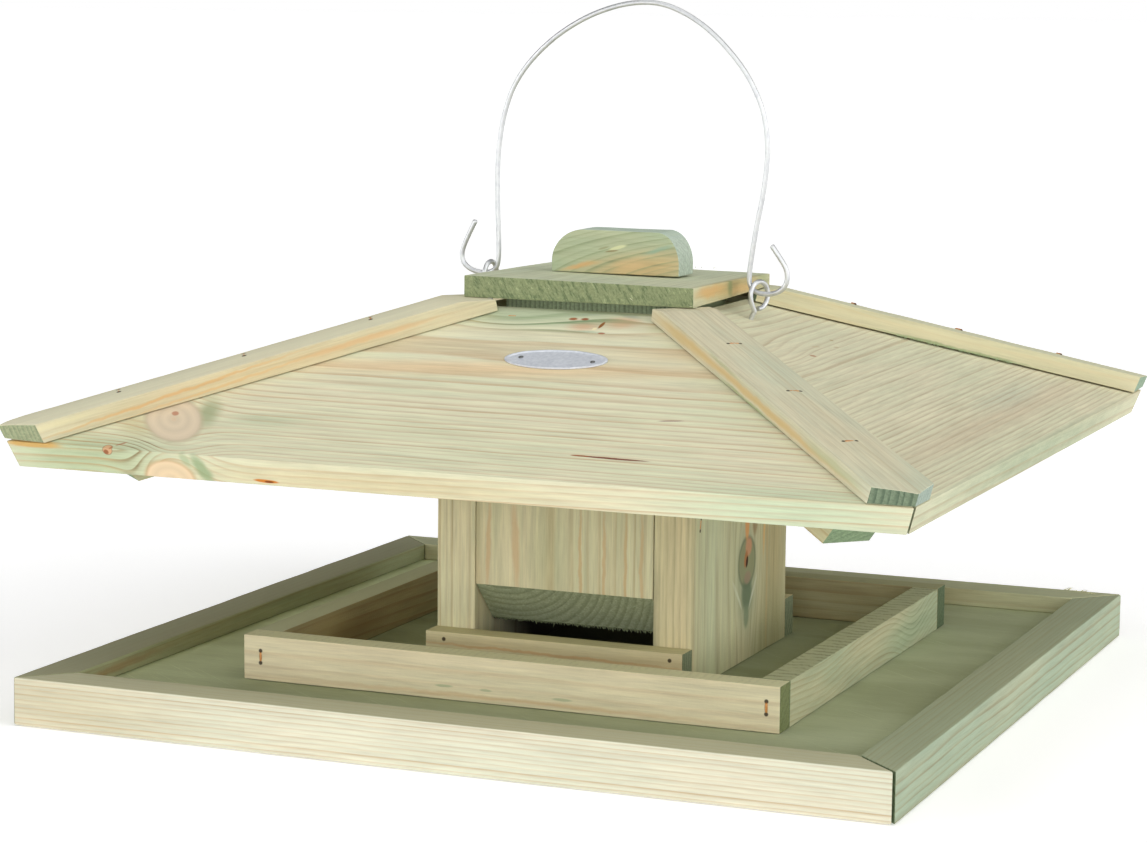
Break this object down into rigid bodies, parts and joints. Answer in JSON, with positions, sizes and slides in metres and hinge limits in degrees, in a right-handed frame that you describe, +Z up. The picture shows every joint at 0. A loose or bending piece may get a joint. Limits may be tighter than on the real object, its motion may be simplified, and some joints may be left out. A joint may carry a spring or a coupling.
{
  "type": "hanging bird table",
  "caption": "Hanging wooden bird table: square tray with seed trough, central hopper, hipped roof, lift-off lid and swinging wire bail.",
  "frame": {"origin": "on the plane the tray stands on, under the centre of the roof", "axes": "+Z up, -Y is the front (oval plate), +X to the right seen from the front"},
  "size_m": [0.412, 0.412, 0.3173],
  "materials": {
    "rail_pine": "pressure-treated pine, sawn and planed",
    "floor_plywood": "treated plywood, olive grey-green",
    "board_pine": "pressure-treated pine, sawn",
    "roof_pine": "pressure-treated pine, planed",
    "lid_pine": "pressure-treated pine, greener, sawn",
    "staple_steel": "coated staple wire, rusting",
    "screw_steel": "yellow zinc plated",
    "galvanised_wire": "bright galvanised wire",
    "plate_aluminium": "bright thin sheet, pressed rim"
  },
  "bodies": {
    "table": {"floor_screw_back_left": "screw_steel", "floor_screw_back_right": "screw_steel", "floor_screw_front_left": "screw_steel", "floor_screw_front_right": "screw_steel", "hip_batten_back_left": "roof_pine", "hip_batten_back_right": "roof_pine", "hip_batten_front_left": "roof_pine", "hip_batten_front_right": "roof_pine", "hip_rafter_back_left": "board_pine", "hip_rafter_back_right": "board_pine", "hip_rafter_front_left": "board_pine", "hip_rafter_front_right": "board_pine", "hip_staple_back_left_1": "staple_steel", "hip_staple_back_left_2": "staple_steel", "hip_staple_back_left_3": "staple_steel", "hip_staple_back_right_1": "staple_steel", "hip_staple_back_right_2": "staple_steel", "hip_staple_back_right_3": "staple_steel", "hip_staple_front_left_1": "staple_steel", "hip_staple_front_left_2": "staple_steel", "hip_staple_front_left_3": "staple_steel", "hip_staple_front_right_1": "staple_steel", "hip_staple_front_right_2": "staple_steel", "hip_staple_front_right_3": "staple_steel", "hopper_back": "board_pine", "hopper_front": "board_pine", "hopper_side_left": "board_pine", "hopper_side_right": "board_pine", "oval_plate": "plate_aluminium", "roof_panel_back": "roof_pine", "roof_panel_front": "roof_pine", "roof_panel_left": "roof_pine", "roof_panel_right": "roof_pine", "screw_eye_left": "galvanised_wire", "screw_eye_right": "galvanised_wire", "seed_slat_back": "board_pine", "seed_slat_front": "board_pine", "slat_staple_back_left": "staple_steel", "slat_staple_back_right": "staple_steel", "slat_staple_front_left": "staple_steel", "slat_staple_front_right": "staple_steel", "tray_floor": "floor_plywood", "tray_rail_back": "rail_pine", "tray_rail_front": "rail_pine", "tray_rail_left": "rail_pine", "tray_rail_right": "rail_pine", "trough_rail_back": "rail_pine", "trough_rail_front": "rail_pine", "trough_rail_left": "rail_pine", "trough_rail_right": "rail_pine", "trough_staple_back_left": "staple_steel", "trough_staple_back_right": "staple_steel", "trough_staple_front_left": "staple_steel", "trough_staple_front_right": "staple_steel"},
    "lid": {"lid_board": "lid_pine", "lid_handle": "lid_pine", "lid_plug": "board_pine", "handle_screw_left": "screw_steel", "handle_screw_right": "screw_steel"},
    "bail": {"bail_wire": "galvanised_wire"}
  },
  "joints": [
    {"name": "bail_swing", "type": "hinge", "parent": "table", "child": "bail", "pos_m": [0.00078, 0.0015, 0.18709], "axis": [0.9996, 0, -0.0277], "range_deg": [-92, 92]},
    {"name": "lid_lift", "type": "slide", "parent": "table", "child": "lid", "axis": [0, 0, 1], "range_m": [0, 0.055]}
  ]
}
